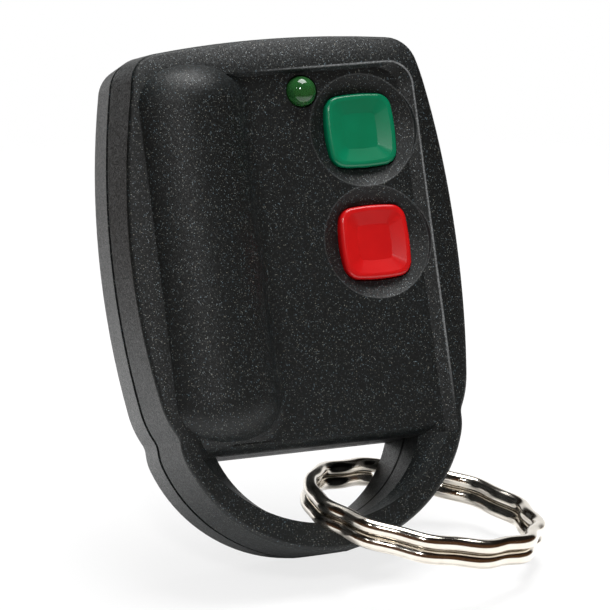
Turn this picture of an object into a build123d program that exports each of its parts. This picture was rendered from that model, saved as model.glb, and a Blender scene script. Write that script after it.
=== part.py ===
from build123d import *

import math
import os

# Alarm key fob: a case of two moulded shells with a battery bulge, two push buttons,
# an indicator lamp, the electronics, and a wavy split ring through the bow.
# Millimetres. X to the right, Y to the rear, Z up. The shells part at Y = 0,
# and Z = 0 is the small flat foot under the bow.

# Case, outside
frame_depth = 5.3
panel_depth = 4.6
rear_depth = 5.4
front_draft_degrees = 4.0
rear_draft_degrees = 4.0
wall = 1.2
foot_cut = 0.27
top_corner_radius = 3.4
rim_radius = 0.5
kink_radius = 2.0
rear_edge_radius = 1.2
bow_relief = 0.25
groove_width = 0.65
groove_depth = 0.6

# Case, what lies beside the battery's bulge and the dishes, and above and below the bulge
left_margin = 1.5
bulge_dish_gap = 5.8
right_margin = 3.5
bulge_top_gap = 2.2
bulge_foot_gap = 1.0

# Case, the outline as shares of its half width and height
side_high_share = (0.846, 0.98)
side_middle_share = (1.0, 0.59)
side_low_share = (0.942, 0.31)
kink_share = (0.868, 0.241)
bow_high_share = (0.851, 0.195)
bow_side_share = (0.606, 0.0726)

# Frame around the panel
roll_radius = 8.0
roll_inset = 1.05
crest_gap_high = 3.35
crest_gap_low = 3.15
crest_top_gap = 3.5
crest_corner_radius = 2.4
panel_side_run = 1.25
panel_top_run = 0.4
lip_radius = 2.6

# Bow and its opening
opening_top = 10.2
opening_bottom = 2.75
opening_arc_radius = 11.35
opening_edge_radius = 0.5
funnel_depth = 2.1
funnel_spread = 2.3

# Battery and its bulge
battery_radius = 5.15
battery_length = 28.5
battery_forward = 1.5
sleeve_thickness = 0.12
sleeve_end_gap = 0.4
cap_radius = 3.0
cap_height = 0.7
bay_clearance = 0.15
bay_end_radius = 1.6
bulge_wall = 1.1
bulge_end_wall = 2.4
bulge_end_radius = 4.0
bulge_blend_radius = 2.0

# Battery contacts and spring
contact_radius = 3.2
contact_thickness = 0.3
contact_clearance = 0.1
contact_strip_width = 2.5
contact_tab_length = 1.6
spring_height = 2.5
spring_wire = 0.5
spring_turns = 2
spring_radius = 2.5

# Buttons
button_top_gap = 9.9
button_pitch = 10.9
button_half = 3.6
button_side_bulge = 0.26
button_corner_radius = 1.5
button_rim_radius = 0.4
button_top = 4.55
button_hollow_depth = 0.5
button_hollow_rim = 0.55
button_flat_half = 1.75
button_flat_bulge = 0.1
button_flange = 0.65
button_flange_thickness = 0.55
button_travel = 0.35
window_clearance = 0.12
flange_clearance = 0.05

# Dishes round the buttons
dish_radius = 5.5
dish_depth = 1.5
dish_floor_wall = 0.65

# Indicator lamp
led_radius = 1.5
led_length = 5.3
led_flange_radius = 1.9
led_flange_thickness = 1.0
led_button_gap = 5.85
led_top_gap = 5.7
led_stand_out = 1.25
led_clearance = 0.12
led_lead_size = 0.5
led_lead_pitch = 2.54

# Circuit board
board_front = 2.2
board_thickness = 1.0
board_clearance = 0.25
board_battery_gap = 0.35
hole_clearance = 0.06

# Push switches
switch_half = 3.0
switch_base_height = 3.1
switch_well_radius = 2.35
switch_cover_thickness = 0.3
switch_cover_inset = 0.15
plunger_radius = 1.7
plunger_stand_out = 0.9
plunger_clearance = 0.1
plunger_flange_thickness = 0.5
plunger_flange_gap = 0.05
dome_radius = 2.1
dome_rise = 2 * button_travel
dome_thickness = 0.15
dome_gap = 0.05
leg_width = 0.7
leg_thickness = 0.3
leg_spacing = 4.5
leg_rise = 1.2

# Case screw and what it joins
screw_button_gap = 2.3
screw_opening_gap = 6.7
screw_shank_radius = 1.0
screw_head_radius = 1.8
screw_head_height = 1.0
screw_seat = 0.7
screw_length = 5.4
screw_clearance = 0.05
screw_head_clearance = 0.15
screw_slot_width = 0.5
screw_slot_depth = 0.5
post_radius = 2.2
boss_radius = 2.7
post_end_gap = 0.2

# Lip of the rear shell inside the front shell
rear_lip_height = 1.0
rear_lip_thickness = 0.6
rear_lip_clearance = 0.06

# Components on the board
encoder_size = (3.9, 1.45, 8.7)
encoder_place_share = (0.023, 0.44)
encoder_lead_pitch = 1.27
encoder_leads = 7
encoder_lead_width = 0.4
encoder_lead_reach = 1.0
encoder_lead_thickness = 0.2
encoder_stand_off = 0.1
resonator_size = (4.6, 1.5, 4.6)
resonator_place_share = (0.659, 0.418)
resonator_corner_radius = 0.9
transistor_size = (2.9, 1.0, 1.4)
transistor_place_share = (0.694, 0.324)
trimmer_size = (3.0, 1.6, 3.4)
trimmer_place_share = (0.058, 0.292)
trimmer_rotor_radius = 1.1
trimmer_rotor_height = 0.3
trimmer_slot_width = 0.4
chip_size = (2.0, 0.5, 1.25)
chip_column_shares = (-0.104, 0.069)
resistor_row_shares = (0.59, 0.64)
resistor_single_shares = ((-0.104, 0.69), (-0.104, 0.834))
capacitor_row_shares = (0.74, 0.79)
capacitor_single_shares = ((0.728, 0.278),)
antenna_side_gap = 3.75
antenna_low_share = 0.5
antenna_high_share = 0.85
antenna_wire_radius = 0.35
antenna_rise = 0.8
antenna_bend_radius = 0.42
solder_radius = 0.6
solder_tip_radius = 0.3
solder_height = 0.4

# Wavy split ring
ring_radius = 11.15
ring_wire = 1.3
ring_pitch = 1.75
ring_waves = 12
ring_wave_degrees = 22.0
ring_side_gap = 7.3
ring_forward = 3.1
ring_rise = 0.05
ring_tilt_front_degrees = 25.0
ring_tilt_right_degrees = 9.0

# One overrun for every cut that has to pass a face, and how near an edge lies to its level
overrun = 1.0
edge_reach = 0.1

# Points on which a wound wire's gap to itself is measured
gap_points = 480

# Places that follow from the sizes above: X to the right, and heights along Z
bay_radius = battery_radius + bay_clearance
bulge_radius = bay_radius + bulge_wall
half_width = (left_margin + 2 * bulge_radius + bulge_dish_gap + 2 * dish_radius + right_margin) / 2
battery_x = left_margin + bulge_radius - half_width
battery_y = -battery_forward
button_x = half_width - right_margin - dish_radius
bulge_low = opening_top + bulge_foot_gap
bay_low = bulge_low + bulge_end_wall
negative_contact_low = bay_low + contact_clearance
battery_low = negative_contact_low + contact_thickness + spring_height
battery_high = battery_low + battery_length
can_high = battery_high - cap_height
bay_high = battery_high + contact_thickness + contact_clearance
bulge_high = bay_high + bulge_end_wall
height = bulge_high + bulge_top_gap
crest_high = height - crest_top_gap
crest_half_high = half_width - crest_gap_high
crest_half_low = half_width - crest_gap_low
button_high_z = height - button_top_gap
button_places = {"green": button_high_z, "red": button_high_z - button_pitch}
led_x = button_x - led_button_gap
led_z = height - led_top_gap
screw_x = button_x - screw_button_gap
screw_z = opening_top + screw_opening_gap
board_left = battery_x + battery_radius + board_battery_gap
antenna_x = half_width - antenna_side_gap
ring_centre = (half_width - ring_side_gap, -ring_forward, opening_bottom + ring_rise)

# Depths along Y that follow from the sizes above
crest_y = -frame_depth
panel_y = -panel_depth
inner_y = wall - panel_depth
boss_y = dish_depth + dish_floor_wall - panel_depth
button_top_y = -button_top
flange_y = boss_y + flange_clearance
board_back = board_front + board_thickness
rear_floor = rear_depth - wall
switch_base_front = board_front - switch_base_height
cover_front = switch_base_front - switch_cover_thickness
plunger_front = cover_front - plunger_stand_out
plunger_flange_front = switch_base_front + plunger_flange_gap
plunger_back = plunger_flange_front + plunger_flange_thickness
well_floor = plunger_back + dome_gap + dome_rise
led_front = panel_y - led_stand_out
led_back = led_front + led_length
screw_seat_y = board_back + screw_seat


def place(face, y_front, y_back):
    """Carries a flat outline, drawn in X and Z, from one depth to another."""
    return Pos(0, y_back, 0) * extrude(Plane.XZ * face, amount=y_back - y_front)


def block(x, y, z):
    """A box between two values of X, of Y and of Z."""
    spans = [pair[1] - pair[0] for pair in (x, y, z)]
    middle = [(pair[1] + pair[0]) / 2 for pair in (x, y, z)]
    return Pos(*middle) * Box(*spans)


def rod(radius, x, z, y_front, y_back):
    """A round bar along Y at one place of the front."""
    return Pos(x, (y_front + y_back) / 2, z) * Rot(90, 0, 0) * Cylinder(radius, y_back - y_front)


def group(solids):
    """Separate solids that share one node."""
    return Compound(children=[solid for item in solids for solid in item.solids()])


def share(pair, side=1):
    """Turns a pair of shares into a point, on the right or the left."""
    return (side * pair[0] * half_width, pair[1] * height)


def side_edges(side):
    """One side of the case from its top corner down to the kink above the bow."""
    stops = (side_high_share, side_middle_share, side_low_share)
    flank = ThreePointArc(*[share(stop, side) for stop in stops])
    shoulder = TangentArc(share(side_low_share, side), share(kink_share, side), tangent=flank % 1)
    return [flank, shoulder]


def bow_inner_half():
    """Half the width of the opening at its flat top."""
    rise = opening_top - opening_bottom
    return math.sqrt(rise * (2 * opening_arc_radius - rise))


def opening_face(spread=0.0):
    """The opening in the bow: an arc below and a flat top, which a spread makes wider at the top."""
    half = bow_inner_half() + spread
    arc = ThreePointArc((half, opening_top), (0, opening_bottom), (-half, opening_top))
    return make_face([arc, Line((-half, opening_top), (half, opening_top))])


def whole_outline(inset=0.0):
    """The case and its bow as one area, drawn in by an inset, with softened kinks where they meet."""
    bottom = ThreePointArc(share(bow_side_share, -1), (0, -foot_cut), share(bow_side_share))
    low = TangentArc(share(bow_side_share), share(bow_high_share), tangent=bottom % 1)
    high = TangentArc(share(bow_high_share), share(kink_share), tangent=low % 1)
    right = [low, high]
    left = [mirror(edge, about=Plane.YZ) for edge in right]
    crown = ThreePointArc(share(side_high_share, -1), (0, height), share(side_high_share))
    face = make_face([bottom, *right, *left, crown, *side_edges(1), *side_edges(-1)])
    if inset:
        face = offset(face, -inset, kind=Kind.INTERSECTION)
    kink_z = share(kink_share)[1]
    kinks = face.vertices().filter_by(lambda spot: abs(spot.Y - kink_z) < inset + edge_reach)
    face = fillet(kinks, kink_radius - inset)
    corners = face.vertices().sort_by(Axis.Y)[-2:]
    return fillet(corners, top_corner_radius - inset)


def drafted(depth, degrees):
    """The whole outline carried from the parting plane to a depth, drawn in by a draft."""
    inset = abs(depth) * math.tan(math.radians(degrees))
    sections = [Plane.XZ * whole_outline(), Pos(0, depth, 0) * (Plane.XZ * whole_outline(inset))]
    return loft(sections, ruled=True)


def cavity_outline():
    """The hollow inside the case's wall, above the opening."""
    crown = ThreePointArc(share(side_high_share, -1), (0, height), share(side_high_share))
    low_half = share(kink_share)[0]
    foot = [(low_half, opening_top), (-low_half, opening_top)]
    floor = Polyline(share(kink_share), *foot, share(kink_share, -1))
    face = make_face([crown, *side_edges(1), floor, *side_edges(-1)])
    corners = face.vertices().sort_by(Axis.Y)[-2:]
    return offset(fillet(corners, top_corner_radius), -wall)


def crest_face(side_run=0.0, top_run=0.0):
    """The area inside the frame's crest line: a tall trapezium with rounded top corners."""
    high = crest_high - top_run
    half_high = crest_half_high - side_run
    half_low = crest_half_low - side_run
    corners = [(-half_low, opening_top), (half_low, opening_top), (half_high, high), (-half_high, high)]
    face = make_face(Polyline(*corners, close=True))
    return fillet(face.vertices().sort_by(Axis.Y)[-2:], crest_corner_radius)


def rolled_block():
    """A block whose front rolls away at its sides and top, from just inside the crest line."""
    half = crest_half_high - roll_inset + roll_radius
    high = crest_high - roll_inset + roll_radius
    slab = block((-half, half), (crest_y, rear_depth), (-height, high))
    corners = slab.edges().filter_by(Axis.Y).filter_by(lambda edge: edge.center().Z > 0)
    slab = fillet(corners, roll_radius + roll_inset)
    front = slab.faces().sort_by(Axis.Y)[0]
    return fillet(front.edges().filter_by(lambda edge: edge.center().Z > -height / 2 - overrun), roll_radius)


def frame_body():
    """The front of the case and bow as one solid, with a rounded rim."""
    body = drafted(crest_y, front_draft_degrees) & rolled_block()
    walls = body.faces().filter_by(lambda face: panel_y < face.center().Y < -edge_reach)
    rim = walls.edges().filter_by(lambda edge: max((edge @ 0).Y, (edge @ 1).Y) < panel_y / 2)
    return fillet(rim, rim_radius)


def panel_pocket():
    """The sunk panel right of the bulge: a gentle slope at its side and a steep step at its top."""
    sections = [Plane.XZ * crest_face(panel_side_run, panel_top_run), Plane.XZ * crest_face()]
    pocket = loft([Pos(0, y, 0) * face for y, face in zip((panel_y, crest_y), sections)], ruled=True)
    return pocket & block((battery_x, half_width), (crest_y, panel_y), (0, height))


def bow_opening():
    """The opening through the front: it widens towards the front, and the panel rounds over into it."""
    half = bow_inner_half()
    start_y = crest_y + funnel_depth
    narrow = Pos(0, start_y, 0) * (Plane.XZ * opening_face())
    wide = Pos(0, crest_y, 0) * (Plane.XZ * opening_face(funnel_spread))
    funnel = loft([narrow, wide], ruled=True)
    middle = (crest_y + lip_radius, opening_top + lip_radius)
    corners = [(half, 0), (half, start_y), (half + funnel_spread, crest_y)]
    plan = make_face(Polyline(*corners, *[(-x, y) for x, y in reversed(corners)], close=True))
    chute = Pos(0, 0, opening_top) * extrude(plan, amount=lip_radius)
    roll = Pos(0, *middle) * Rot(0, 90, 0) * Cylinder(lip_radius, 2 * half_width)
    corner = block((-half_width, half_width), (crest_y, middle[0]), (opening_top, middle[1]))
    return place(opening_face(), start_y, overrun) + funnel + (chute & corner - roll)


def barrel(radius, low, high, end_radius):
    """A round bar along the battery's axis with rounded ends."""
    bar = Cylinder(radius, high - low)
    bar = fillet(bar.edges().filter_by(GeomType.CIRCLE), end_radius)
    return Pos(battery_x, battery_y, (low + high) / 2) * bar


def battery_bulge():
    """The bulge over the battery, with a hollow blend into the panel on its right."""
    bar = barrel(bulge_radius, bulge_low, bulge_high, bulge_end_radius)
    reach = 2 * bulge_radius
    around = (battery_x - reach, battery_x + reach)
    tall = (bulge_low - reach, bulge_high + reach)
    proud = bar & block(around, (battery_y - reach, panel_y), tall)
    plate = block(around, (panel_y, 0), tall)
    joined = proud + plate
    foot = joined.edges().filter_by(lambda edge: abs(edge.center().Y - panel_y) < edge_reach)
    foot = foot.filter_by(lambda edge: abs(edge.center().X - battery_x) < bulge_radius)
    foot = foot.filter_by(lambda edge: edge.length < 2 * bulge_high)
    foot = foot.filter_by(lambda edge: bulge_low - wall < edge.center().Z < bulge_high + wall)
    blended = fillet(foot, bulge_blend_radius)
    top = crest_high - panel_top_run
    right = blended & block((battery_x, around[1]), (battery_y - reach, 0), (bulge_low, top))
    left = bar & block(around, (battery_y - reach, 0), tall)
    return (left & drafted(battery_y - bulge_radius, front_draft_degrees)) + right


def parting_groove():
    """The groove all round the case where the rear shell meets the front one."""
    around = Pos(0, height / 2) * Rectangle(3 * half_width, 2 * height)
    return place(around - whole_outline(groove_depth), 0, groove_width)


def button_face(half, bulge, corner_radius):
    """A square with bowed sides and rounded corners."""
    corner = half - bulge
    points = [(corner, corner), (-corner, corner), (-corner, -corner), (corner, -corner)]
    middles = [(0, half), (-half, 0), (0, -half), (half, 0)]
    sides = [ThreePointArc(points[i], middles[i], points[(i + 1) % 4]) for i in range(4)]
    face = make_face(sides)
    return fillet(face.vertices(), corner_radius)


def button_outline(grow=0.0):
    """The button's outline seen from the front, grown by a clearance or a flange."""
    return button_face(button_half + grow, button_side_bulge, button_corner_radius + grow)


def dish(z):
    """The round hollow about one button."""
    ball_radius = (dish_radius**2 + dish_depth**2) / (2 * dish_depth)
    ball = Pos(button_x, panel_y + dish_depth - ball_radius, z) * Sphere(ball_radius)
    return ball & rod(dish_radius, button_x, z, crest_y - overrun, 0)


def front_shell():
    """The front of the case with its half of the bow."""
    body = frame_body() - panel_pocket() + battery_bulge() - bow_opening()
    body -= block((-half_width, half_width), (crest_y, 0), (-height, 0))
    for z in button_places.values():
        body -= dish(z)
    hollow = place(cavity_outline(), inner_y, overrun)
    for z in button_places.values():
        hollow -= rod(dish_radius + wall, button_x, z, inner_y, boss_y)
    hollow -= rod(post_radius, screw_x, screw_z, inner_y, board_front)
    body -= hollow
    body -= barrel(bay_radius, bay_low, bay_high, bay_end_radius)
    for z in button_places.values():
        body -= place(Pos(button_x, z) * button_outline(window_clearance), crest_y, 0)
    body -= rod(led_radius + led_clearance, led_x, led_z, crest_y, 0)
    post = rod(post_radius, screw_x, screw_z, inner_y, board_front)
    pilot_end = screw_seat_y - screw_length - post_end_gap
    pilot = rod(screw_shank_radius + screw_clearance, screw_x, screw_z, pilot_end, board_front + overrun)
    return body + post - pilot


def rear_shell():
    """The rear of the case: a flat back with a thinner bow, an inner lip, and the screw's seat."""
    body = drafted(rear_depth, rear_draft_degrees)
    back = body.faces().sort_by(Axis.Y)[-1]
    body = fillet(back.outer_wire().edges(), rear_edge_radius)
    body -= place(opening_face(), -overrun, rear_depth + overrun)
    back = body.faces().sort_by(Axis.Y)[-1]
    body = fillet(back.inner_wires().edges(), opening_edge_radius)
    body -= block((-half_width, half_width), (0, rear_depth), (-height, 0))
    body -= block((-half_width, half_width), (rear_depth - bow_relief, rear_depth), (0, opening_top))
    body -= parting_groove()
    inside = cavity_outline()
    body -= place(inside, -overrun, rear_floor)
    slim = offset(inside, -rear_lip_clearance)
    open_face = offset(inside, -rear_lip_clearance - rear_lip_thickness)
    body += place(slim - open_face, -rear_lip_height, 0) + place(inside - open_face, 0, rear_lip_height)
    body -= barrel(bay_radius, bay_low, bay_high, bay_end_radius)
    body += rod(boss_radius, screw_x, screw_z, board_back, rear_floor)
    body -= rod(screw_shank_radius + screw_clearance, screw_x, screw_z, board_back - overrun, rear_depth)
    head_hole = screw_head_radius + screw_head_clearance
    return body - rod(head_hole, screw_x, screw_z, screw_seat_y, rear_depth + overrun)


def button(z):
    """A push button: bowed sides, a rounded rim, a hollow with a flat floor, and a flange at the back."""
    cap = place(button_outline(), button_top_y, flange_y)
    rim = cap.faces().sort_by(Axis.Y)[0].edges()
    cap = fillet(rim, button_rim_radius)
    hollow_half = button_half - button_hollow_rim
    mouth = button_face(hollow_half, button_side_bulge, button_corner_radius - button_rim_radius)
    floor = button_face(button_flat_half, button_flat_bulge, button_rim_radius)
    floor_y = button_top_y + button_hollow_depth
    sections = [Pos(0, y, 0) * (Plane.XZ * face) for y, face in ((button_top_y, mouth), (floor_y, floor))]
    cap -= loft(sections, ruled=True)
    back = flange_y + button_flange_thickness
    cap += place(button_outline(button_flange), flange_y, back)
    cap -= rod(plunger_radius + plunger_clearance, 0, 0, plunger_front, back + overrun)
    return Pos(button_x, 0, z) * cap


def switch_legs(z, clearance=0.0):
    """The four legs of a push switch, down through the board."""
    start = switch_half - clearance
    half_wide = leg_width / 2 + clearance
    legs = []
    for side in (-1, 1):
        for end in (-1, 1):
            x = sorted((side * start, side * (switch_half + leg_thickness + clearance)))
            middle = z + end * leg_spacing / 2
            leg = block(x, (board_front - leg_rise, board_back), (middle - half_wide, middle + half_wide))
            legs.append(Pos(button_x, 0, 0) * leg)
    return legs


def switch_parts(z):
    """The pieces of one push switch, from the moulded base to the plunger."""
    across = (button_x - switch_half, button_x + switch_half)
    upright = (z - switch_half, z + switch_half)
    base = block(across, (switch_base_front, board_front), upright)
    base -= rod(switch_well_radius, button_x, z, switch_base_front - overrun, well_floor)
    inner = switch_half - switch_cover_inset
    wide, tall = (button_x - inner, button_x + inner), (z - inner, z + inner)
    cover = block(wide, (cover_front, switch_base_front), tall)
    hole = plunger_radius + plunger_clearance
    cover -= rod(hole, button_x, z, cover_front - overrun, switch_base_front + overrun)
    plunger = rod(plunger_radius, button_x, z, plunger_front, plunger_back)
    flange_radius = switch_well_radius - plunger_clearance
    plunger += rod(flange_radius, button_x, z, plunger_flange_front, plunger_back)
    legs = group(switch_legs(z))
    return {"base": base, "cover": cover, "plunger": plunger, "dome": switch_dome(z), "legs": legs}


def switch_dome(z):
    """The snap dome under the plunger: a thin shallow cap of a sphere."""
    ball_radius = (dome_radius**2 + dome_rise**2) / (2 * dome_rise)
    middle_y = well_floor - dome_rise + ball_radius
    shell = Sphere(ball_radius) - Sphere(ball_radius - dome_thickness)
    dome = Pos(button_x, middle_y, z) * shell
    return dome & rod(2 * dome_radius, button_x, z, plunger_back, well_floor)


def led_lens():
    """The indicator lamp's body: a round-nosed bar with a flange."""
    bar = rod(led_radius, led_x, led_z, led_front + led_radius, led_back)
    nose = Pos(led_x, led_front + led_radius, led_z) * Sphere(led_radius)
    return bar + nose + rod(led_flange_radius, led_x, led_z, led_back - led_flange_thickness, led_back)


def led_leads(clearance=0.0):
    """The lamp's two square leads, down through the board."""
    half = led_lead_size / 2 + clearance
    leads = []
    for side in (-1, 1):
        x = led_x + side * led_lead_pitch / 2
        leads.append(block((x - half, x + half), (led_back, board_back), (led_z - half, led_z + half)))
    return leads


def lead_places():
    """Where legs and leads come through the board."""
    places = [(led_x + side * led_lead_pitch / 2, led_z) for side in (-1, 1)]
    reach = switch_half + leg_thickness / 2
    for z in button_places.values():
        places += [(button_x + a * reach, z + b * leg_spacing / 2) for a in (-1, 1) for b in (-1, 1)]
    return places


def circuit_board():
    """The board to the right of the battery, drilled for every leg and for the screw's post."""
    face = offset(cavity_outline(), -board_clearance)
    face &= Pos(board_left + half_width, height / 2) * Rectangle(2 * half_width, 2 * height)
    board = place(face, board_front, board_back)
    board -= rod(screw_shank_radius + screw_head_clearance, screw_x, screw_z, 0, rear_depth)
    holes = led_leads(hole_clearance)
    for z in button_places.values():
        holes += switch_legs(z, hole_clearance)
    for hole in holes:
        board -= hole
    return board


def solder_joints():
    """A small cone of solder about each leg on the back of the board."""
    cone = Rot(-90, 0, 0) * Cone(solder_radius, solder_tip_radius, solder_height)
    middle = board_back + solder_height / 2
    return group([Pos(x, middle, z) * cone for x, z in lead_places()])


def battery():
    """The cell: a can, its printed sleeve, and the raised positive cap."""
    def bar(radius, low, high):
        return Pos(battery_x, battery_y, (low + high) / 2) * Cylinder(radius, high - low)

    inner = battery_radius - sleeve_thickness
    can = bar(inner, battery_low, can_high)
    sleeve = bar(battery_radius, battery_low + sleeve_end_gap, can_high - sleeve_end_gap)
    return {
        "battery_can": can,
        "battery_sleeve": sleeve - bar(inner, battery_low, can_high),
        "battery_positive_cap": bar(cap_radius, can_high, battery_high),
    }


def contact(low, tab_up):
    """A sprung contact: a disc at the battery's end, a strip, and a tab soldered to the board."""
    high = low + contact_thickness
    disc = Pos(battery_x, battery_y, (low + high) / 2) * Cylinder(contact_radius, contact_thickness)
    end = board_left + contact_tab_length
    strip = block((battery_x, end), (board_front - contact_strip_width, board_front), (low, high))
    reach = (low, high + contact_tab_length) if tab_up else (low - contact_tab_length, high)
    start = board_left + contact_clearance
    tab = block((start, end), (board_front - contact_thickness, board_front), reach)
    return disc + strip + tab


def biarc(start, start_way, end, end_way):
    """Two arcs in space that leave one point and reach another along given directions."""
    gap = end - start
    ways = start_way + end_way
    spare = 2 * (1 - start_way.dot(end_way))
    along = gap.dot(ways)
    reach = (math.sqrt(along**2 + spare * gap.dot(gap)) - along) / spare
    middle = (start + end + (start_way - end_way) * reach) / 2
    first = Edge.make_tangent_arc(start, start_way, middle)
    second = Edge.make_tangent_arc(middle, first % 1, end)
    return [first, second]


def least_gap(path, thickness, turns):
    """The least gap of a wound wire to itself, between points more than half a turn apart."""
    spots = [path @ (number / gap_points) for number in range(gap_points + 1)]
    half_turn = round(gap_points / (2 * turns))
    spans = [
        (spots[late] - spots[early]).length
        for early in range(gap_points)
        for late in range(early + half_turn, gap_points + 1)
    ]
    return min(spans) - thickness


def battery_spring():
    """The negative spring: a coil on biarcs of a quarter turn."""
    climb = (spring_height - spring_wire) / spring_turns
    base = battery_low - spring_height + spring_wire / 2
    lean = math.atan(climb / (2 * math.pi * spring_radius))

    def point(quarter):
        angle = quarter * math.pi / 2
        spot = (spring_radius * math.cos(angle), spring_radius * math.sin(angle), quarter * climb / 4)
        return Vector(*spot) + Vector(battery_x, battery_y, base)

    def way(quarter):
        angle = quarter * math.pi / 2
        flat = Vector(-math.sin(angle), math.cos(angle), 0) * math.cos(lean)
        return flat + Vector(0, 0, math.sin(lean))

    edges = []
    for quarter in range(4 * spring_turns):
        edges += biarc(point(quarter), way(quarter), point(quarter + 1), way(quarter + 1))
    path = Wire(edges)
    section = Plane(origin=path @ 0, z_dir=path % 0) * Circle(spring_wire / 2)
    print("battery spring, least gap to itself", least_gap(path, spring_wire, spring_turns))
    return sweep(section, path=path)


def on_board(size, place_share):
    """A box of a component's size that stands on the board's front, at a share of the case's size."""
    x, z = share(place_share)
    half_wide, half_tall = size[0] / 2, size[2] / 2
    depth = (board_front - size[1], board_front)
    return block((x - half_wide, x + half_wide), depth, (z - half_tall, z + half_tall))


def encoder():
    """The encoder chip: a moulded body just clear of the board, and two rows of leads."""
    x, z = share(encoder_place_share)
    wide, thick, tall = encoder_size
    lift = encoder_stand_off
    body = Pos(0, -lift, 0) * on_board(encoder_size, encoder_place_share)
    leads = []
    for side in (-1, 1):
        for number in range(encoder_leads):
            middle = z + (number - (encoder_leads - 1) / 2) * encoder_lead_pitch
            upright = (middle - encoder_lead_width / 2, middle + encoder_lead_width / 2)
            root = x + side * wide / 2
            knee = root + side * encoder_lead_thickness
            tip = root + side * encoder_lead_reach
            riser = block(sorted((root, knee)), (board_front - lift - thick / 2, board_front), upright)
            foot = block(sorted((root, tip)), (board_front - encoder_lead_thickness, board_front), upright)
            leads.append(riser + foot)
    return {"encoder_chip": body, "encoder_chip_leads": group(leads)}


def chips(row_shares, single_shares):
    """Small chip components: whole rows in both columns, and single ones beside them."""
    spots = [(column, row) for row in row_shares for column in chip_column_shares]
    return group([on_board(chip_size, spot) for spot in [*spots, *single_shares]])


def resonator():
    """The resonator: a small metal can with rounded corners."""
    can = on_board(resonator_size, resonator_place_share)
    return fillet(can.edges().filter_by(Axis.Y), resonator_corner_radius)


def trimmer_capacitor():
    """The trimmer: a ceramic block with a slotted rotor."""
    x, z = share(trimmer_place_share)
    front = board_front - trimmer_size[1]
    rotor = rod(trimmer_rotor_radius, x, z, front - trimmer_rotor_height, front)
    half_slot, tall = trimmer_slot_width / 2, trimmer_size[2]
    slot = block((x - half_slot, x + half_slot), (front - overrun, front), (z - tall, z + tall))
    return on_board(trimmer_size, trimmer_place_share) + rotor - slot


def antenna_loop():
    """The aerial: a wire bridge along the board's right edge."""
    outer_y = board_front - antenna_rise
    low, high = antenna_low_share * height, antenna_high_share * height
    points = [
        (antenna_x, board_front, low),
        (antenna_x, outer_y, low),
        (antenna_x, outer_y, high),
        (antenna_x, board_front, high),
    ]
    path = FilletPolyline(*points, radius=antenna_bend_radius)
    section = Plane(origin=path @ 0, z_dir=path % 0) * Circle(antenna_wire_radius)
    return sweep(section, path=path)


def case_screw():
    """The self-tapping screw that holds the shells together from behind."""
    head = rod(screw_head_radius, screw_x, screw_z, screw_seat_y, screw_seat_y + screw_head_height)
    shank = rod(screw_shank_radius, screw_x, screw_z, screw_seat_y - screw_length, screw_seat_y)
    top = screw_seat_y + screw_head_height
    half_slot = screw_slot_width / 2
    arm = screw_head_radius - screw_slot_width
    deep = (top - screw_slot_depth, top + overrun)
    bars = [
        block((screw_x - a, screw_x + a), deep, (screw_z - b, screw_z + b))
        for a, b in ((half_slot, arm), (arm, half_slot))
    ]
    return head + shank - bars[0] - bars[1]


def wave_edges(first, last, level):
    """The ring's waves from one half wave to another: arcs that bow outwards and inwards in turn."""
    step = math.pi / ring_waves
    lean = math.radians(ring_wave_degrees)
    edges = []
    for number in range(first, last):
        start, end = number * step, (number + 1) * step
        outward = 1 if number % 2 == 0 else -1
        half_arc = step / 2 + outward * lean
        sag = ring_radius * math.sin(step / 2) * math.tan(half_arc / 2)
        middle = ring_radius * math.cos(step / 2) + sag
        spots = [(ring_radius, start), (middle, (start + end) / 2), (ring_radius, end)]
        points = [Vector(r * math.cos(a), r * math.sin(a), level) for r, a in spots]
        edges.append(Edge.make_three_point_arc(*points))
    return edges


def ring_way(number):
    """The direction of the wire where two half waves meet."""
    angle = number * math.pi / ring_waves
    outward = 1 if number % 2 == 0 else -1
    turn = angle + math.pi / 2 - outward * math.radians(ring_wave_degrees)
    return Vector(math.cos(turn), math.sin(turn), 0)


def key_ring():
    """The split ring: two wavy turns of one wire, joined by a short climb at the left."""
    halves = 2 * ring_waves
    step = math.pi / ring_waves
    lower, upper = -ring_pitch / 2, ring_pitch / 2
    climb = 2
    first = wave_edges(climb, halves, lower)
    second = wave_edges(climb, halves, upper)
    start = Vector(ring_radius, 0, lower)
    end = Vector(ring_radius * math.cos(climb * step), ring_radius * math.sin(climb * step), upper)
    ramp = biarc(start, ring_way(halves), end, ring_way(climb))
    path = Wire(first + ramp + second)
    section = Plane(origin=path @ 0, z_dir=path % 0) * Circle(ring_wire / 2)
    ring = sweep(section, path=path)
    print("key ring, least gap to itself", least_gap(path, ring_wire, 2))
    solid_wire = math.pi * (ring_wire / 2) ** 2 * path.length
    print("key ring, volume against section times length", ring.volume / solid_wire)
    turned = Rot(0, 0, 180 - math.degrees(climb * step / 2)) * ring
    tilted = Rot(ring_tilt_front_degrees, ring_tilt_right_degrees, 0) * turned
    return Pos(*ring_centre) * tilted


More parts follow.
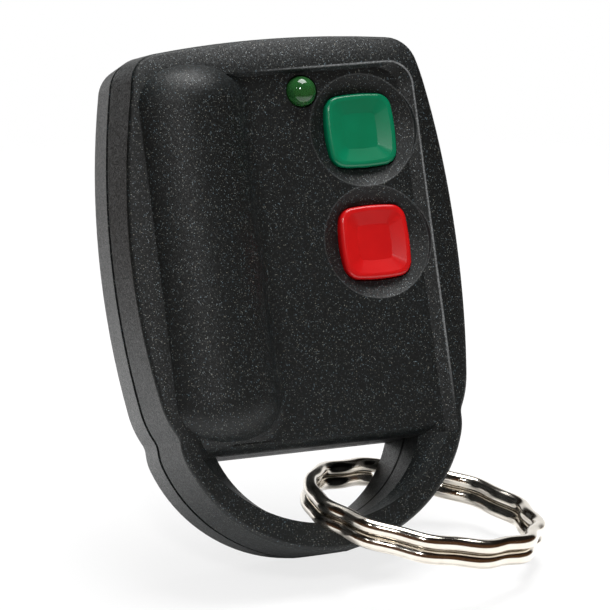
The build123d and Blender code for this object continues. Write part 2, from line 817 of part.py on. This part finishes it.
shapes = {"front_shell": front_shell(), "rear_shell": rear_shell()}
for colour, level in button_places.items():
    shapes[f"{colour}_button"] = button(level)
    for piece, shape in switch_parts(level).items():
        shapes[f"{colour}_switch_{piece}"] = shape
shapes["led_lens"] = led_lens()
shapes["led_leads"] = group(led_leads())
shapes["circuit_board"] = circuit_board()
shapes["solder_joints"] = solder_joints()
shapes.update(battery())
shapes["battery_spring"] = battery_spring()
shapes["battery_negative_contact"] = contact(negative_contact_low, True)
shapes["battery_positive_contact"] = contact(battery_high, False)
shapes.update(encoder())
shapes["resonator"] = resonator()
shapes["transistor"] = on_board(transistor_size, transistor_place_share)
shapes["trimmer_capacitor"] = trimmer_capacitor()
shapes["antenna_loop"] = antenna_loop()
shapes["chip_resistors"] = chips(resistor_row_shares, resistor_single_shares)
shapes["chip_capacitors"] = chips(capacitor_row_shares, capacitor_single_shares)
shapes["case_screw"] = case_screw()
shapes["key_ring"] = key_ring()

os.makedirs("parts", exist_ok=True)
for name, shape in shapes.items():
    export_step(shape, f"parts/{name}.step")
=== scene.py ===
# %% [markdown]
# # Alarm key fob
# A small black alarm fob seen a little from its left: two moulded shells that part along a
# groove, a half-round bulge over the battery, a green and a red button in overlapping
# round dishes, a green lamp, and a wavy nickel split ring through the bow.
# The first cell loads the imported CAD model, which holds the shapes and the sizes. What this
# file adds is the finish of every surface, the wire of the ring, the light and the camera.

# %% Load the model
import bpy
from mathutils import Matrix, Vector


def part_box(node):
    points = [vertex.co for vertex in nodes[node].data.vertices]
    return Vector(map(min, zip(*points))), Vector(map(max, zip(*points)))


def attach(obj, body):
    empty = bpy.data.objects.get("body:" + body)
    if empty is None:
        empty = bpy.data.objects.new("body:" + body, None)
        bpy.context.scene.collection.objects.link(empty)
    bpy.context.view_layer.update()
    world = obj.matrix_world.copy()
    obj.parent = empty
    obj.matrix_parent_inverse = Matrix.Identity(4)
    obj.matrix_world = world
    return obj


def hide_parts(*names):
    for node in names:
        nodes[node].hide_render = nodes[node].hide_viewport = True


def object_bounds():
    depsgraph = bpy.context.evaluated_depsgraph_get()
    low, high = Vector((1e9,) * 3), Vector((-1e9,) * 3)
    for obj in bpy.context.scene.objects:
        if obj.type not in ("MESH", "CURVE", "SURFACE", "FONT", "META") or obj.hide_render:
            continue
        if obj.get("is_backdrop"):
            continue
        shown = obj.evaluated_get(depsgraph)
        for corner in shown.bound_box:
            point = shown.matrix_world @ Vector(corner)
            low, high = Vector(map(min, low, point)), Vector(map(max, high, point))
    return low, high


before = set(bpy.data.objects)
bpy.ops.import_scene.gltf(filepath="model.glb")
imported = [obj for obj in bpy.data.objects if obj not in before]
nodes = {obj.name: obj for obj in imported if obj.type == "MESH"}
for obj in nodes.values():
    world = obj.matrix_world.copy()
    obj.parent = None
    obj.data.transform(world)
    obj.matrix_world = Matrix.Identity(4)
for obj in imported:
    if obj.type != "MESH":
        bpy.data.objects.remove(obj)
cad_box = [list(corner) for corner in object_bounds()]

import math
import bpy
import numpy as np
from mathutils import Matrix, Vector

mm = 0.001
print("nodes", len(nodes), "size in mm", [round((b - a) / mm, 1) for a, b in zip(*cad_box)])

# %% [markdown]
# ## Camera
# The photograph was taken with a long lens, about half a metre away, a little to the left of
# the fob and slightly below its middle as the fob leans back. A point in the fob, the
# direction from it back to the camera and the picture's upright are enough to build the
# camera's turn as three columns. That point isn't in the middle of the picture, so the
# camera is then turned aside by the few pixels between them.

# %% Camera
picture_pixels = 610
pixels_per_mm = 10.35
sensor_mm = 36
camera_distance = 450 * mm
nearest, farthest = 10 * mm, 10.0
look_through = Vector((0, 0, 25)) * mm
picture_back = Vector((-0.3953, -0.9155, -0.0748)).normalized()
picture_up = Vector((0.0888, -0.1191, 0.9889))
pixels_left, pixels_up = 19.3, 7.40


def turn_from(back, up):
    """A rotation whose columns are right, up and back, made square to each other."""
    right = up.cross(back).normalized()
    return Matrix((right, back.cross(right), back)).transposed()


lens_pixels = pixels_per_mm * camera_distance / mm
aim = turn_from(picture_back, picture_up) @ Vector((-pixels_left, pixels_up, lens_pixels))
place = Matrix.Translation(look_through + picture_back * camera_distance)
lens = bpy.data.cameras.new("photo_camera")
lens.sensor_width = sensor_mm
lens.lens = sensor_mm * lens_pixels / picture_pixels
lens.clip_start, lens.clip_end = nearest, farthest
camera = bpy.data.objects.new("photo_camera", lens)
camera.matrix_world = place @ turn_from(aim.normalized(), picture_up).to_4x4()
bpy.context.scene.collection.objects.link(camera)
bpy.context.scene.camera = camera
bpy.context.scene.view_settings.view_transform = "Standard"
print("lens mm", round(lens.lens, 1))

# %% [markdown]
# ## Colours and nodes
# Colours are written as they are seen, in sRGB hex, and one function turns them into the
# linear values that a shader mixes. One more small function adds a node: its kind, the
# values for its inputs from the top, and its settings by name. A value may be a number, a
# hex colour or another node, so each material below reads as a list of what it is made of.

# %% Colours and nodes
def colour(text):
    """Linear RGBA of an sRGB hex colour: c / 12.92 near black, else ((c + 0.055) / 1.055) ** 2.4."""
    values = [int(text[i:i + 2], 16) / 255 for i in (1, 3, 5)]
    return (*[c / 12.92 if c < 0.04045 else ((c + 0.055) / 1.055) ** 2.4 for c in values], 1)


def add(tree, kind, *values, **named):
    """Adds a shader node. A name in small letters is a setting, one with a capital is an input
    (with _ for a space), and plain values fill the inputs that the node shows, from the top.
    A node given as a value stands for the first output that it shows."""
    node = tree.nodes.new("ShaderNode" + kind)
    for name, value in named.items():
        if name.islower():
            setattr(node, name, value)
    links = list(zip([socket for socket in node.inputs if socket.enabled], values))
    links += [(node.inputs[n.replace("_", " ")], v) for n, v in named.items() if not n.islower()]
    for socket, value in links:
        if isinstance(value, bpy.types.Node):
            value = next(output for output in value.outputs if output.enabled)
        if isinstance(value, bpy.types.NodeSocket):
            tree.links.new(value, socket)
        else:
            socket.default_value = colour(value) if isinstance(value, str) else value
    return node


def blank(name):
    """A material with an empty node tree."""
    material = bpy.data.materials.new(name)
    material.use_nodes = True
    material.node_tree.nodes.clear()
    return material, material.node_tree


def grain(tree, size, kind="TexNoise", **named):
    """A pattern on object coordinates whose features are about size metres across."""
    return add(tree, kind, Vector=add(tree, "TexCoord").outputs["Object"], Scale=1 / size, **named)


def finish_with(names, material):
    """Gives CAD nodes a material."""
    for name in names:
        slots = nodes[name].data.materials
        slots.clear()
        slots.append(material)
    print(material.name, "on", ", ".join(names))


print("the grey #808080 is", round(colour("#808080")[0], 3), "in linear light")

# %% [markdown]
# ## Painted edge highlights
# The thin edges that stand out get a painted highlight, a lighter colour where a bright line
# of light falls: the crest beside the sunk panel, and the rims of the two dishes. Each is a
# line in the front view, so a mask finds it by the distance to that line: a rounded corner
# for the crest, a circle about each button for the rims. The mask fades out towards the
# bulge, the bow and the back, where the photograph shows no such line.

# %% Painted edge highlights
# The crest is a corner of this radius, between a line at this x and a line at this z.
crest_corner, crest_x, crest_z = 2.4 * mm, 13.97 * mm, 46.5 * mm
crest_half_width, rim_half_width = 0.13 * mm, 0.10 * mm
dish_radius = 5.5 * mm
# How strong the painted highlight on the dishes' rims is, against the crest's.
rim_strength = 0.2
# Over these spans of y, x and z the mask goes from nothing to full.
sides_to_front = -4.3 * mm, -4.5 * mm
bulge_to_panel = -3.0 * mm, 6.0 * mm
bow_to_panel = 12.0 * mm, 20.0 * mm


def line_at(tree, distance, half_width):
    """One on the line where the distance is nought, fading to nought at half the line's width."""
    away = add(tree, "Math", distance, operation="ABSOLUTE")
    return add(tree, "MapRange", away, 0.4 * half_width, half_width, 1.0, 0.0)


def length_of(tree, across, along):
    """The length of a flat vector: the root of the sum of squares."""
    return add(tree, "VectorMath", add(tree, "CombineXYZ", across, along), operation="LENGTH")


def crest_distance(tree, x, z):
    """Distance to a rounded corner: |max(q, 0)| + min(max(qx, qz), 0) - r, where q is the
    place less the middle of the corner's circle of radius r."""
    across = add(tree, "Math", x, crest_x - crest_corner, operation="SUBTRACT")
    along = add(tree, "Math", z, crest_z - crest_corner, operation="SUBTRACT")
    positive = [add(tree, "Math", q, 0.0, operation="MAXIMUM") for q in (across, along)]
    larger = add(tree, "Math", across, along, operation="MAXIMUM")
    inner = add(tree, "Math", larger, 0.0, operation="MINIMUM")
    whole = add(tree, "Math", length_of(tree, *positive), inner, operation="ADD")
    return add(tree, "Math", whole, crest_corner, operation="SUBTRACT")


def painted_edge_highlights(tree):
    """The painted highlight on the crest right of the bulge, and on the dishes' rims at a lower strength.
    """
    x, y, z = add(tree, "SeparateXYZ", add(tree, "TexCoord").outputs["Object"]).outputs
    edge_highlight = line_at(tree, crest_distance(tree, x, z), crest_half_width)
    for name in ("green_button", "red_button"):
        low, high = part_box(name)
        across = add(tree, "Math", x, (low[0] + high[0]) / 2, operation="SUBTRACT")
        along = add(tree, "Math", z, (low[2] + high[2]) / 2, operation="SUBTRACT")
        rim = add(tree, "Math", length_of(tree, across, along), dish_radius, operation="SUBTRACT")
        rim = line_at(tree, rim, rim_half_width)
        rim = add(tree, "Math", rim, rim_strength, operation="MULTIPLY")
        edge_highlight = add(tree, "Math", edge_highlight, rim, operation="MAXIMUM")
    for value, span in ((y, sides_to_front), (x, bulge_to_panel), (z, bow_to_panel)):
        inside = add(tree, "MapRange", value, *span, 0.0, 1.0)
        edge_highlight = add(tree, "Math", edge_highlight, inside, operation="MULTIPLY")
    return edge_highlight


# Widths of the painted highlight lines.
print("painted highlight lines in mm", [round(2 * half / mm, 2) for half in (crest_half_width, rim_half_width)])

# %% [markdown]
# ## Black shells
# The shells are black ABS, moulded in a tool whose cavity was spark-eroded. That leaves
# countless tiny craters, about a tenth of a millimetre across. Most only dull the black, and
# here and there one faces a lamp and shows as a bright speck. The real craters are below a
# pixel, so they are drawn about twice as wide. A bump gives the craters. A cell pattern
# picks the specks: each cell's random value is raised to a high power, which leaves few
# bright ones. Their colour is painted lighter, a painted glint, and they are also made
# smoother and tilted a little another way in each cell, so that their real glints lie closest
# together near the lamp's reflection.
# The side walls slide along the tool as a shell is pushed out of it, so their craters are
# shallow: fewer specks, and more shine. The groove between the shells is painted black, a
# painted shadow, and is dull.

# %% Black ABS
crater, crater_depth = 0.20 * mm, 0.03 * mm
speck, speck_power, speck_tilt = 0.115 * mm, 5.5, 0.16
speck_inner, speck_outer = 0.15, 0.45
side_begins, side_full = 0.70, 0.95
side_specks, side_shine = 0.3, 0.30
# The painted edge highlight's strength, from least to most, as the crater pattern breaks it up.
highlight_least, highlight_most = 0.15, 0.55
# Where the groove lies, and how wide the painted shadow in it is.
groove_y, groove_half_width = 0.31 * mm, 0.33 * mm
groove_roughness, speck_roughness = 1.0, 0.25

shell_black, tree = blank("spark_eroded_black_abs")
craters = grain(tree, crater, Detail=3.0, Roughness=0.8)
cells = grain(tree, speck, "TexVoronoi").outputs
normal = add(tree, "NewGeometry").outputs["Normal"]
sideways = add(tree, "SeparateXYZ", normal).outputs["X"]
sideways = add(tree, "Math", sideways, operation="ABSOLUTE")
sideways = add(tree, "MapRange", sideways, side_begins, side_full, 0.0, 1.0)
chance = add(tree, "SeparateColor", cells["Color"]).outputs
spot = add(tree, "MapRange", cells["Distance"], speck_inner, speck_outer, 1.0, 0.0)
glint_specks = add(tree, "Math", chance["Blue"], speck_power, operation="POWER")
for share in (spot, add(tree, "MapRange", sideways, 0.0, 1.0, 1.0, side_specks)):
    glint_specks = add(tree, "Math", glint_specks, share, operation="MULTIPLY")
depth = add(tree, "SeparateXYZ", add(tree, "TexCoord").outputs["Object"]).outputs["Y"]
depth = add(tree, "Math", depth, groove_y, operation="SUBTRACT")
# The groove is painted black as painted shadow, and is made dull.
groove_shade = line_at(tree, depth, groove_half_width)
patchy = add(tree, "MapRange", craters, 0.35, 0.60, highlight_least, highlight_most)
# The painted edge highlight, broken up by the crater pattern.
edge_highlight = add(tree, "Math", painted_edge_highlights(tree), patchy, operation="MULTIPLY")

# The specks get a painted glint: a lighter tint in their colour, on top of their real shine.
painted_glint_tint = add(tree, "Mix", chance["Red"], "#7d96a4", "#a39f90", data_type="RGBA")
tint = add(tree, "Mix", craters, "#040707", "#101516", data_type="RGBA")
# Over the crater tint go the specks' painted glint, the edges' painted highlight and the groove's painted
# shadow.
for share, over in ((glint_specks, painted_glint_tint), (edge_highlight, "#a3a5a6"), (groove_shade, "#000000")):
    tint = add(tree, "Mix", share, tint, over, data_type="RGBA")
smooth = add(tree, "Math", sideways, side_shine, glint_specks, operation="MULTIPLY_ADD")
smooth = add(tree, "Math", smooth, groove_shade, operation="SUBTRACT")
rough = add(tree, "MapRange", smooth, -1.0, 0.5, groove_roughness, speck_roughness)
tilt = add(tree, "VectorMath", cells["Color"], (0.5, 0.5, 0.5), operation="SUBTRACT")
tilt = add(tree, "VectorMath", tilt, speck_tilt, operation="SCALE")
way = add(tree, "VectorMath", normal, tilt, operation="ADD")
way = add(tree, "VectorMath", way, operation="NORMALIZE")
bump = add(tree, "Bump", Height=craters, Strength=0.9, Distance=crater_depth, Normal=way)
plastic = add(tree, "BsdfPrincipled", Base_Color=tint, Roughness=rough, Normal=bump, IOR=1.42)
add(tree, "OutputMaterial", plastic)
finish_with(["front_shell", "rear_shell"], shell_black)

# %% [markdown]
# ## Buttons
# The buttons are moulded in coloured ABS in a polished tool, so their skin is smooth and
# mirrors the lamps. A very weak, wide bump stands for the slight sink of thick plastic.

# %% Button plastics
cloud, skin_wave = 2.5 * mm, 0.3 * mm


def button_plastic(name, light, dark):
    """Polished coloured ABS: glossy, a little darker where the noise is low."""
    material, tree = blank(name)
    clouds = grain(tree, cloud, Detail=1.0)
    skin = grain(tree, skin_wave, Detail=2.0)
    bump = add(tree, "Bump", Height=skin, Strength=0.10, Distance=0.01 * mm)
    tint = add(tree, "Mix", clouds, dark, light, data_type="RGBA")
    abs_plastic = add(tree, "BsdfPrincipled", Base_Color=tint, Normal=bump, Roughness=0.24, IOR=1.5)
    add(tree, "OutputMaterial", abs_plastic)
    return material


finish_with(["green_button"], button_plastic("polished_green_abs", "#007a54", "#006c47"))
finish_with(["red_button"], button_plastic("polished_red_abs", "#cf1011", "#ba0b0f"))

# %% [markdown]
# ## Lamp
# The lamp is a light-emitting diode cast in clear green epoxy. Unlit, and seated in a black
# hole, it looks dark green with sharp white glints. A partly clear shader gives that.

# %% Lamp epoxy
lens_epoxy, tree = blank("clear_green_epoxy")
tint = add(tree, "Mix", grain(tree, 0.8 * mm, Detail=1.0), "#1f5026", "#357238", data_type="RGBA")
epoxy = add(tree, "BsdfPrincipled", Base_Color=tint, Roughness=0.06, IOR=1.53, Transmission_Weight=0.35)
add(tree, "OutputMaterial", epoxy)
finish_with(["led_lens"], lens_epoxy)

# %% [markdown]
# ## Metals
# The ring is spring wire with a nickel plate. The contacts, the battery's can and the
# switch covers are nickel plated too, the leads are tinned, and the screw is black zinc.
# Each is a metal with a drawn or rolled grain, so one function makes them from a colour,
# a roughness and the size of the grain.

# %% Metals
def plated(name, light, dark, rough, scratch):
    """A plated metal: full metallic, its roughness and tint stirred by a fine grain."""
    material, tree = blank(name)
    fine = grain(tree, scratch, Detail=3.0)
    wide = grain(tree, 12 * scratch, Detail=2.0)
    bump = add(tree, "Bump", Height=fine, Strength=0.12, Distance=0.01 * mm)
    stirred = add(tree, "MapRange", wide, 0.3, 0.7, 0.8 * rough, 1.25 * rough)
    tint = add(tree, "Mix", wide, dark, light, data_type="RGBA")
    metal = add(tree, "BsdfPrincipled", Base_Color=tint, Metallic=1.0, Roughness=stirred, Normal=bump)
    add(tree, "OutputMaterial", metal)
    return material


ring_nickel = plated("nickel_plated_spring_wire", "#ece7dd", "#d2cabe", 0.15, 0.12 * mm)
nickel = plated("nickel_plated_steel", "#c8c4bb", "#b4afa6", 0.28, 0.15 * mm)
tinned = plated("tinned_brass", "#c9c9c4", "#b6b6b0", 0.35, 0.10 * mm)
solder = plated("bright_solder", "#cfd0d2", "#b9babd", 0.22, 0.20 * mm)
copper = plated("enamelled_copper", "#c07a4a", "#a8623a", 0.25, 0.10 * mm)
black_zinc = plated("black_zinc_plate", "#3a3a3c", "#28282a", 0.38, 0.12 * mm)
finish_with(["battery_can", "battery_positive_cap", "battery_spring", "battery_negative_contact",
             "battery_positive_contact", "resonator", "green_switch_cover", "green_switch_dome",
             "red_switch_cover", "red_switch_dome"], nickel)
finish_with(["led_leads", "encoder_chip_leads", "green_switch_legs", "red_switch_legs"], tinned)
finish_with(["solder_joints"], solder)
finish_with(["antenna_loop"], copper)
finish_with(["case_screw"], black_zinc)

# %% [markdown]
# ## Inside pieces
# Behind the shells are the board, its components and the battery. They don't show when the
# fob is shut, but each still gets its own finish: solder mask over glass fibre with its
# weave, dull epoxy mouldings, fired ceramic, and the battery's shrunk film.

# %% Mouldings, ceramic and film
def dull(name, light, dark, rough, size):
    """A dull moulded or fired surface with a fine grain."""
    material, tree = blank(name)
    fine = grain(tree, size, Detail=2.0)
    bump = add(tree, "Bump", Height=fine, Strength=0.3, Distance=0.02 * mm)
    tint = add(tree, "Mix", fine, dark, light, data_type="RGBA")
    skin = add(tree, "BsdfPrincipled", Base_Color=tint, Roughness=rough, Normal=bump)
    add(tree, "OutputMaterial", skin)
    return material


moulding = dull("black_epoxy_moulding", "#232325", "#18181a", 0.6, 0.1 * mm)
ceramic = dull("fired_ceramic", "#b5916a", "#9c7850", 0.5, 0.08 * mm)
film = dull("shrunk_film", "#4a5468", "#3c4558", 0.25, 0.6 * mm)
finish_with(["encoder_chip", "transistor", "chip_resistors", "green_switch_base", "red_switch_base",
             "green_switch_plunger", "red_switch_plunger"], moulding)
finish_with(["trimmer_capacitor", "chip_capacitors"], ceramic)
finish_with(["battery_sleeve"], film)

# %% [markdown]
# The board's glass cloth is two sets of threads, half a millimetre apart, that cross at
# right angles. A wave texture of size 1 repeats every pi / 10, which gives the size for that
# pitch. The product of the two waves is high where two threads cross.

# %% Board
weave_pitch = 0.5 * mm
wave_size = weave_pitch / (math.pi / 10)

solder_mask, tree = blank("green_solder_mask")
warp, weft = [grain(tree, wave_size, "TexWave", wave_type="BANDS", bands_direction=side) for side in "XZ"]
cloth = add(tree, "Math", warp.outputs["Fac"], weft.outputs["Fac"], operation="MULTIPLY")
tint = add(tree, "Mix", cloth, "#0c4a26", "#14663a", data_type="RGBA")
bump = add(tree, "Bump", Height=cloth, Strength=0.15, Distance=0.02 * mm)
mask = add(tree, "BsdfPrincipled", Base_Color=tint, Roughness=0.3, Normal=bump)
add(tree, "OutputMaterial", mask)
finish_with(["circuit_board"], solder_mask)

# %% [markdown]
# ## Split ring
# The ring is one wire wound twice round, with twelve waves in each turn. The CAD ring keeps
# a gap between its turns, so that it stays one clean solid. On the real one the turns lie
# on each other and only a dark line parts them, so here the wire is a little thicker and
# the turns meet. The photograph shows no end of the wire, so both ends are turned to lie
# behind the bow's right arm, and the waves are calm at the ring's left end, as they are
# there. The path of the wire comes first, flat on the ring's own plane.

# %% The wire's path
ring_centre = np.array((10.0, -3.1, 2.8)) * mm
ring_radius = 11.15 * mm
wave_height = 0.23 * mm
waves = 12
wire = 1.44 * mm
turn_pitch = 1.47 * mm
full_turn, climb = 360, 36    # degrees
calm_power = 10
wave_shift = math.radians(298)
ends_turned = math.radians(54)
left_end = math.radians(157)


def ring_path(count):
    """Radius R + a sin(12 t + shift) round a circle for t from 36 to 720 degrees, on a lower
    level up to 360 degrees, then on a smooth step of 36 degrees to the upper level. The
    waves calm down near the left end, by 1 - cos(angle from it) ** 10."""
    t = np.radians(np.linspace(climb, 2 * full_turn, count))
    calm = 1 - np.maximum(np.cos(t + ends_turned - left_end), 0) ** calm_power
    radius = ring_radius + wave_height * calm * np.sin(waves * t + wave_shift)
    step = np.clip((np.degrees(t) - full_turn) / climb, 0, 1)
    level = turn_pitch * (step * step * (3 - 2 * step) - 0.5)
    return np.stack([radius * np.cos(t), radius * np.sin(t), level], axis=1)


count = 1500
path = ring_path(count)
print("wire length in mm", round(float(np.linalg.norm(np.diff(path, axis=0), axis=1).sum()) / mm, 1))

# %% [markdown]
# A tube is a circle carried along that path: for each point of the path the circle is set up
# on two directions square to the wire. The ring is then turned and tilted to lie as it does
# in the photograph, and it takes the CAD ring's place on the body that swings.

# %% The ring's mesh
sides = 28
end_rounding = 0.35 * mm
end_point = 0.02 * mm
tilt_front, tilt_right = math.radians(25), math.radians(9)


def tube(path, radius, sides):
    """Vertices p + r (cos a n + sin a b) on a grid of path points p and angles a, where n and
    b are square to the wire."""
    along = np.gradient(path, axis=0)
    along /= np.linalg.norm(along, axis=1, keepdims=True)
    side = np.cross(along, (0.0, 0.0, 1.0))
    side /= np.linalg.norm(side, axis=1, keepdims=True)
    top = np.cross(side, along)
    angle = np.linspace(0, 2 * np.pi, sides, endpoint=False)[None, :, None]
    circle = np.cos(angle) * side[:, None] + np.sin(angle) * top[:, None]
    return path[:, None] + radius[:, None, None] * circle


def grid_faces(rows, columns):
    """Quads between neighbouring rows of a grid that closes round its columns."""
    row, column = np.meshgrid(np.arange(rows - 1), np.arange(columns), indexing="ij")
    after = (column + 1) % columns
    this, following = row * columns, (row + 1) * columns
    quads = [this + column, this + after, following + after, following + column]
    return np.stack(quads, axis=-1).reshape(-1, 4)


# The radius goes to nothing over the wire's ends as a quarter circle, which closes them.
distance = np.minimum(np.arange(count), np.arange(count)[::-1]) * np.linalg.norm(path[1] - path[0])
inset = np.clip(1 - distance / end_rounding, 0, 1)
radius = wire / 2 - end_rounding * (1 - np.sqrt(1 - inset**2))
radius[[0, -1]] = end_point
spin = np.array(Matrix.Rotation(ends_turned, 3, "Z"))
lean = np.array(Matrix.Rotation(tilt_front, 3, "X") @ Matrix.Rotation(tilt_right, 3, "Y"))
ring_points = (tube(path, radius, sides) @ (lean @ spin).T + ring_centre).reshape(-1, 3)
faces = grid_faces(count, sides)[:, ::-1]
caps = [list(range(sides)), list(range((count - 1) * sides, count * sides))[::-1]]
mesh = bpy.data.meshes.new("split_ring_wire")
mesh.from_pydata(ring_points.tolist(), [], faces.tolist() + caps)
mesh.shade_smooth()
mesh.materials.append(ring_nickel)
split_ring = bpy.data.objects.new("split_ring_wire", mesh)
bpy.context.scene.collection.objects.link(split_ring)
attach(split_ring, "key_ring")
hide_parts("key_ring")
print("ring triangles", 2 * len(faces))
print("ring span in mm", np.round(ring_points.min(0) / mm, 2), np.round(ring_points.max(0) / mm, 2))

# %% [markdown]
# ## Floor
# The fob leans back on a white table. The table is a disc that fades away before its edge,
# so no edge shows. Part of its white is its own glow, for the camera's rays alone, where a
# strength of one is plain white: the shadow stays, as pale as in the photograph. It is
# see-through from below, so that views from behind aren't blocked by it.

# %% Floor
floor_up = Vector((-0.05, -0.42, 0.906)).normalized()
floor_gap = 0.05 * mm
floor_radius = 0.30
fade_starts, fade_ends = 0.06, 0.14
glow_share = 0.78
edge_points = 96


def points_of(name):
    """All vertices of a CAD node as one array."""
    vertices = nodes[name].data.vertices
    points = np.empty(3 * len(vertices), dtype=np.float32)
    vertices.foreach_get("co", points)
    return points.reshape(-1, 3)


upright = np.array(floor_up)
parts = points_of("front_shell"), points_of("rear_shell"), ring_points
floor_level = min((points @ upright).min() for points in parts) - floor_gap

floor_white, tree = blank("white_table")
far = add(tree, "VectorMath", add(tree, "TexCoord").outputs["Object"], operation="LENGTH")
fade = add(tree, "MapRange", far, fade_starts, fade_ends, 1.0, 0.0)
behind = add(tree, "NewGeometry").outputs["Backfacing"]
front = add(tree, "Math", 1.0, behind, operation="SUBTRACT")
shown = add(tree, "Math", fade, front, operation="MULTIPLY")
seen = add(tree, "LightPath").outputs["Is Camera Ray"]
glowing = add(tree, "Math", seen, glow_share, operation="MULTIPLY")
paint, glow = add(tree, "BsdfDiffuse", "#ffffff"), add(tree, "Emission", "#ffffff", 1.0)
white = add(tree, "MixShader", glowing, paint, glow)
table = add(tree, "MixShader", shown, add(tree, "BsdfTransparent"), white)
add(tree, "OutputMaterial", table)

angle = np.linspace(0, 2 * np.pi, edge_points, endpoint=False)
disc = np.stack([floor_radius * np.cos(angle), floor_radius * np.sin(angle), 0 * angle], axis=1)
mesh = bpy.data.meshes.new("white_table")
mesh.from_pydata(disc.tolist(), [], [list(range(edge_points))])
mesh.materials.append(floor_white)
floor = bpy.data.objects.new("white_table", mesh)
lie = floor_up.to_track_quat("Z", "Y").to_matrix().to_4x4()
floor.matrix_world = Matrix.Translation(floor_up * floor_level) @ lie
bpy.context.scene.collection.objects.link(floor)
floor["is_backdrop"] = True
print("floor level in mm", round(floor_level / mm, 2))

# %% [markdown]
# ## World
# The camera sees a white world, and dull surfaces get a weak white light from it. Shiny and
# clear ones mirror the real room instead: white behind the fob, and on the camera's own
# side a brown, dim room that is darkest high up. That is what makes the ring look like
# metal, and it parts the two shells' sides, since the rear one mirrors more of the white.

# %% World
room_edge = -0.77, -0.69
brown_below, dark_above = 0.10, 0.45
diffuse_strength = 0.34

world = bpy.data.worlds.new("white_room")
bpy.context.scene.world = world
world.use_nodes = True
tree = world.node_tree
tree.nodes.clear()
direction = add(tree, "TexCoord").outputs["Generated"]
toward = add(tree, "VectorMath", direction, tuple(picture_back), operation="DOT_PRODUCT")
dark_side = add(tree, "MapRange", toward, *room_edge, 0.0, 1.0)
height = add(tree, "SeparateXYZ", direction).outputs["Z"]
low_part = add(tree, "MapRange", height, brown_below, dark_above, 1.0, 0.0)
brown = add(tree, "Mix", low_part, "#17130f", "#553a26", data_type="RGBA")
room = add(tree, "Mix", dark_side, "#ffffff", brown, data_type="RGBA")
mirrored = add(tree, "Background", room, 1.0)
light = add(tree, "Background", "#ffffff", diffuse_strength)
rays = add(tree, "LightPath").outputs
for ray, backdrop in (("Is Glossy Ray", mirrored), ("Is Transmission Ray", mirrored),
                      ("Is Camera Ray", add(tree, "Background", "#ffffff", 1.0))):
    light = add(tree, "MixShader", rays[ray], light, backdrop)
add(tree, "OutputWorld", light)
print("world nodes", len(tree.nodes))

# %% [markdown]
# ## Lamps
# Three lamps light the fob: a big soft one above it, a small one above the camera that
# brings glints to the green lamp and the buttons' edges, and a faint one at the left.

# %% Lamps
distance_to_camera_lamp, lift_above_camera = 0.38, 0.17


def softbox(name, spot, size, watts):
    """A square area lamp that faces the middle of the fob."""
    data = bpy.data.lights.new(name, "AREA")
    data.size, data.energy = size, watts
    lamp = bpy.data.objects.new(name, data)
    spot = Vector(spot)
    face = (spot - look_through).to_track_quat("Z", "Y").to_matrix().to_4x4()
    lamp.matrix_world = Matrix.Translation(spot) @ face
    bpy.context.scene.collection.objects.link(lamp)
    print(name, "at", [round(v, 2) for v in spot], "m,", watts, "W")


above_the_camera = look_through + distance_to_camera_lamp * picture_back + Vector((0, 0, lift_above_camera))
softbox("top_softbox", spot=(0.08, -0.12, 0.46), size=0.30, watts=2.5)
softbox("lamp_above_the_camera", spot=above_the_camera, size=0.06, watts=0.42)
softbox("left_lamp", spot=(-0.30, -0.25, 0.22), size=0.04, watts=0.09)

# %% [markdown]
# ## Sizes
# The sizes before and after are measured, and their change is printed.

# %% Sizes
bpy.context.view_layer.update()
dressed_box = [list(corner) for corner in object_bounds()]
changes = [round((b - a) / mm, 2) for a, b in zip(sum(cad_box, []), sum(dressed_box, []))]
print("size change in mm", changes)
